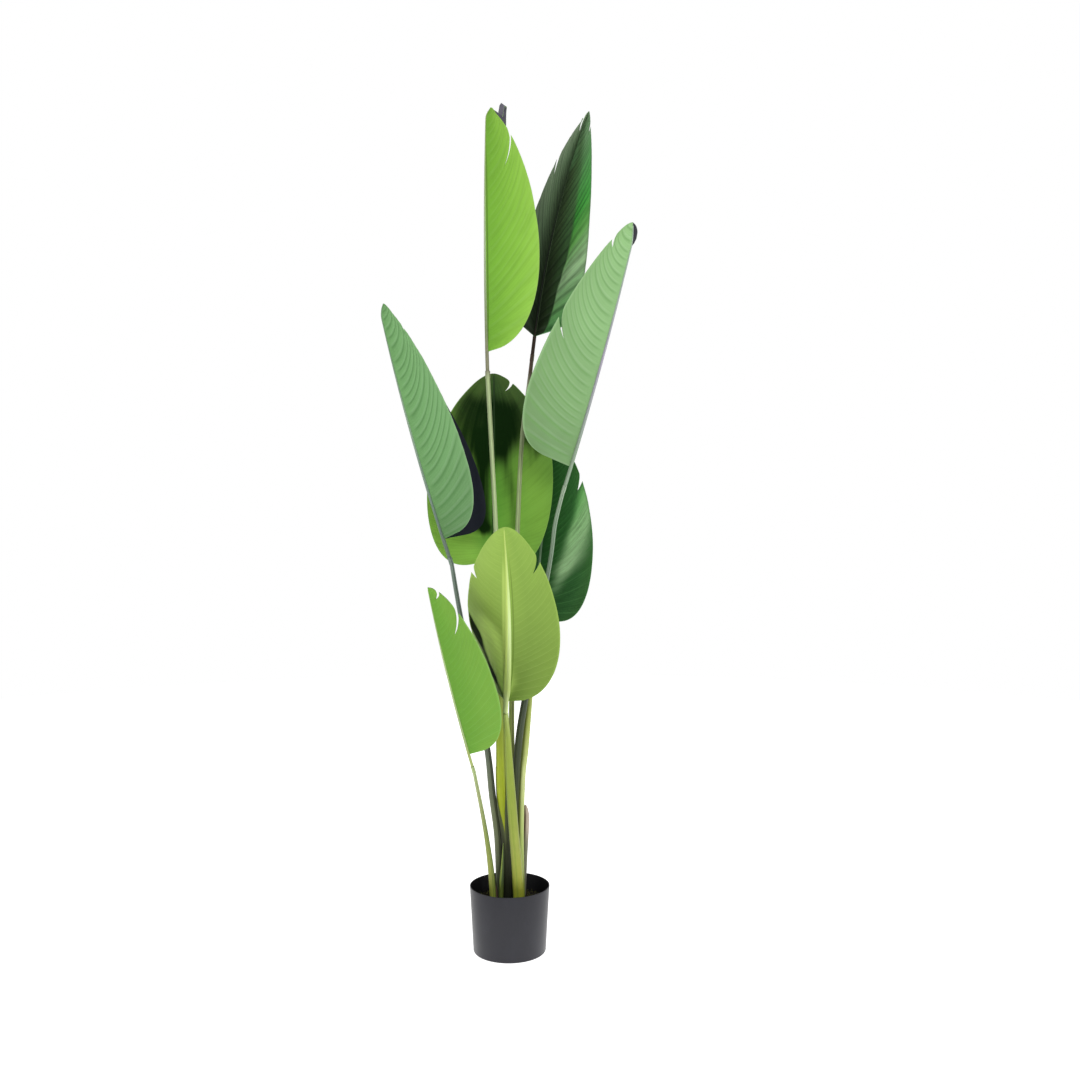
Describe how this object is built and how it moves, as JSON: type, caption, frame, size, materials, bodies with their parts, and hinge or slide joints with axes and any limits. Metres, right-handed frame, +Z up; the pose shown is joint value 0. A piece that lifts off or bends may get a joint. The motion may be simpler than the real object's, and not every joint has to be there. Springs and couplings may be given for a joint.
{
  "type": "potted banana plant",
  "caption": "Artificial banana-like house plant: large folded leaves with torn edges fanned out on long bare stalks in a plain tapered nursery pot.",
  "frame": {"origin": "centre of the pot's flat underside", "axes": "+Z up along the pot's axis, -Y the front that faces the viewer, +X to the viewer's right"},
  "size_m": [0.4696, 0.4207, 1.6414],
  "materials": {
    "pot": "satin moulded plastic",
    "soil": "rough, dark, with loose moss",
    "leaf_a": "printed cloth with a satin coat, fine cross veins",
    "leaf_b": "printed cloth with a satin coat, fine cross veins",
    "leaf_c": "printed cloth with a satin coat, fine cross veins",
    "leaf_d": "printed cloth with a satin coat, fine cross veins",
    "leaf_e": "printed cloth with a satin coat, fine cross veins",
    "leaf_f": "printed cloth with a satin coat, fine cross veins",
    "leaf_g": "printed cloth with a satin coat, fine cross veins",
    "leaf_h": "printed cloth with a satin coat, fine cross veins",
    "stem_a": "satin moulded plastic, faint lengthwise fibres",
    "stem_b": "satin moulded plastic, faint lengthwise fibres",
    "stem_c": "satin moulded plastic, faint lengthwise fibres",
    "stem_d": "satin moulded plastic, faint lengthwise fibres",
    "stem_e": "satin moulded plastic, faint lengthwise fibres",
    "stem_f": "satin moulded plastic, faint lengthwise fibres",
    "stem_g": "satin moulded plastic, faint lengthwise fibres",
    "stem_h": "satin moulded plastic, faint lengthwise fibres",
    "sheath_brown": "satin moulded plastic, faint lengthwise fibres",
    "sheath_green": "satin moulded plastic, faint lengthwise fibres",
    "sheath_dark": "satin moulded plastic, faint lengthwise fibres"
  },
  "bodies": {
    "root": {"pot": "pot", "soil": "soil", "leaf_a": "leaf_a", "leaf_b": "leaf_b", "leaf_c": "leaf_c", "leaf_d": "leaf_d", "leaf_e": "leaf_e", "leaf_f": "leaf_f", "leaf_g": "leaf_g", "leaf_h": "leaf_h", "stem_a": "stem_a", "stem_b": "stem_b", "stem_c": "stem_c", "stem_d": "stem_d", "stem_e": "stem_e", "stem_f": "stem_f", "stem_g": "stem_g", "stem_h": "stem_h", "sheath_brown": "sheath_brown", "sheath_green": "sheath_green", "sheath_dark": "sheath_dark"}
  },
  "joints": []
}
